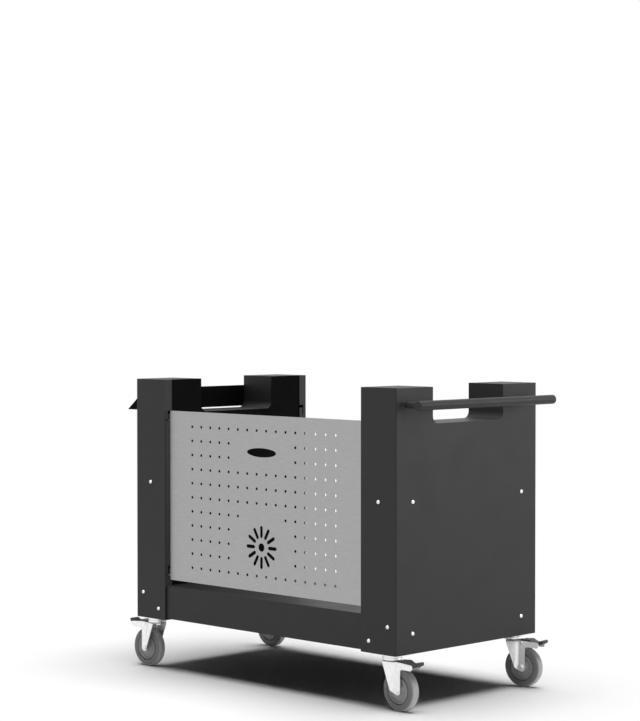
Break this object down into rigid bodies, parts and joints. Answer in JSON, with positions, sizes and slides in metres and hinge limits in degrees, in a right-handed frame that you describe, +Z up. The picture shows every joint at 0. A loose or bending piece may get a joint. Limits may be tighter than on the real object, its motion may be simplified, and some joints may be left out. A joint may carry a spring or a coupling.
{
  "type": "grill cart",
  "caption": "Rolling outdoor grill cart of black folded steel with notched hollow legs, a low shelf, a lift-out perforated tool panel, a push handle, a tool ledge and braked swivel casters.",
  "frame": {"origin": "on the floor, midway between the two legs and midway between front and rear", "axes": "+Z up; -Y is the front, where the perforated panel hangs; +X is the side with the push handle"},
  "size_m": [1.328, 0.64, 0.942],
  "materials": {
    "black_powder_coat": "fine-textured black powder coat",
    "satin_black": "deep satin black paint",
    "brushed_sheet": "brushed stainless sheet",
    "zinc_plate": "bright zinc plating",
    "grey_tyre": "grey solid rubber",
    "hub_plastic": "moulded grey plastic",
    "black_pedal": "black painted steel"
  },
  "bodies": {
    "cart": {"right_leg_shell": "black_powder_coat", "right_leg_inner_panel": "satin_black", "right_notch_liner": "black_powder_coat", "right_top_plates": "black_powder_coat", "right_leg_stiffener": "black_powder_coat", "right_foot_pan": "black_powder_coat", "right_shelf_bracket": "black_powder_coat", "left_leg_shell": "black_powder_coat", "left_leg_inner_panel": "satin_black", "left_notch_liner": "black_powder_coat", "left_top_plates": "black_powder_coat", "left_leg_stiffener": "black_powder_coat", "left_foot_pan": "black_powder_coat", "left_shelf_bracket": "black_powder_coat", "shelf": "black_powder_coat", "front_shelf_rib": "black_powder_coat", "rear_shelf_rib": "black_powder_coat", "handle_bar": "black_powder_coat", "handle_posts": "black_powder_coat", "tool_ledge": "satin_black", "front_right_caster_plate": "zinc_plate", "rear_right_caster_plate": "zinc_plate", "front_left_caster_plate": "zinc_plate", "rear_left_caster_plate": "zinc_plate"},
    "panel": {"perforated_panel": "brushed_sheet"},
    "front_right_swivel": {"front_right_caster_fork": "zinc_plate", "front_right_caster_axle_bolt": "zinc_plate"},
    "front_right_wheel": {"front_right_caster_wheel_hub": "hub_plastic", "front_right_caster_tyre": "grey_tyre"},
    "front_right_pedal": {"front_right_caster_brake_pedal": "black_pedal"},
    "rear_right_swivel": {"rear_right_caster_fork": "zinc_plate", "rear_right_caster_axle_bolt": "zinc_plate"},
    "rear_right_wheel": {"rear_right_caster_wheel_hub": "hub_plastic", "rear_right_caster_tyre": "grey_tyre"},
    "rear_right_pedal": {"rear_right_caster_brake_pedal": "black_pedal"},
    "front_left_swivel": {"front_left_caster_fork": "zinc_plate", "front_left_caster_axle_bolt": "zinc_plate"},
    "front_left_wheel": {"front_left_caster_wheel_hub": "hub_plastic", "front_left_caster_tyre": "grey_tyre"},
    "front_left_pedal": {"front_left_caster_brake_pedal": "black_pedal"},
    "rear_left_swivel": {"rear_left_caster_fork": "zinc_plate", "rear_left_caster_axle_bolt": "zinc_plate"},
    "rear_left_wheel": {"rear_left_caster_wheel_hub": "hub_plastic", "rear_left_caster_tyre": "grey_tyre"},
    "rear_left_pedal": {"rear_left_caster_brake_pedal": "black_pedal"}
  },
  "joints": [
    {"name": "panel_lift", "type": "slide", "parent": "cart", "child": "panel", "axis": [0, 0, 1], "range_m": [0, 0.024]},
    {"name": "front_right_swivel_turn", "type": "hinge", "parent": "cart", "child": "front_right_swivel", "pos_m": [0.523, -0.278, 0], "axis": [0, 0, 1], "continuous": true},
    {"name": "front_right_wheel_roll", "type": "hinge", "parent": "front_right_swivel", "child": "front_right_wheel", "pos_m": [0.55998, -0.27929, 0.0625], "axis": [0.0349, 0.9994, 0], "continuous": true},
    {"name": "front_right_brake_press", "type": "hinge", "parent": "front_right_swivel", "child": "front_right_pedal", "pos_m": [0.562, -0.27936, 0.13967], "axis": [0.0349, 0.9994, 0], "range_deg": [0, 14]},
    {"name": "rear_right_swivel_turn", "type": "hinge", "parent": "cart", "child": "rear_right_swivel", "pos_m": [0.523, 0.278, 0], "axis": [0, 0, 1], "continuous": true},
    {"name": "rear_right_wheel_roll", "type": "hinge", "parent": "rear_right_swivel", "child": "rear_right_wheel", "pos_m": [0.55964, 0.28315, 0.0625], "axis": [-0.1392, 0.9903, 0], "continuous": true},
    {"name": "rear_right_brake_press", "type": "hinge", "parent": "rear_right_swivel", "child": "rear_right_pedal", "pos_m": [0.56164, 0.28343, 0.13967], "axis": [-0.1392, 0.9903, 0], "range_deg": [0, 14]},
    {"name": "front_left_swivel_turn", "type": "hinge", "parent": "cart", "child": "front_left_swivel", "pos_m": [-0.523, -0.278, 0], "axis": [0, 0, 1], "continuous": true},
    {"name": "front_left_wheel_roll", "type": "hinge", "parent": "front_left_swivel", "child": "front_left_wheel", "pos_m": [-0.55998, -0.27929, 0.0625], "axis": [0.0349, -0.9994, 0], "continuous": true},
    {"name": "front_left_brake_press", "type": "hinge", "parent": "front_left_swivel", "child": "front_left_pedal", "pos_m": [-0.562, -0.27936, 0.13967], "axis": [0.0349, -0.9994, 0], "range_deg": [0, 14]},
    {"name": "rear_left_swivel_turn", "type": "hinge", "parent": "cart", "child": "rear_left_swivel", "pos_m": [-0.523, 0.278, 0], "axis": [0, 0, 1], "continuous": true},
    {"name": "rear_left_wheel_roll", "type": "hinge", "parent": "rear_left_swivel", "child": "rear_left_wheel", "pos_m": [-0.56, 0.278, 0.0625], "axis": [0, -1, 0], "continuous": true},
    {"name": "rear_left_brake_press", "type": "hinge", "parent": "rear_left_swivel", "child": "rear_left_pedal", "pos_m": [-0.56202, 0.278, 0.13967], "axis": [0, -1, 0], "range_deg": [0, 14]}
  ]
}
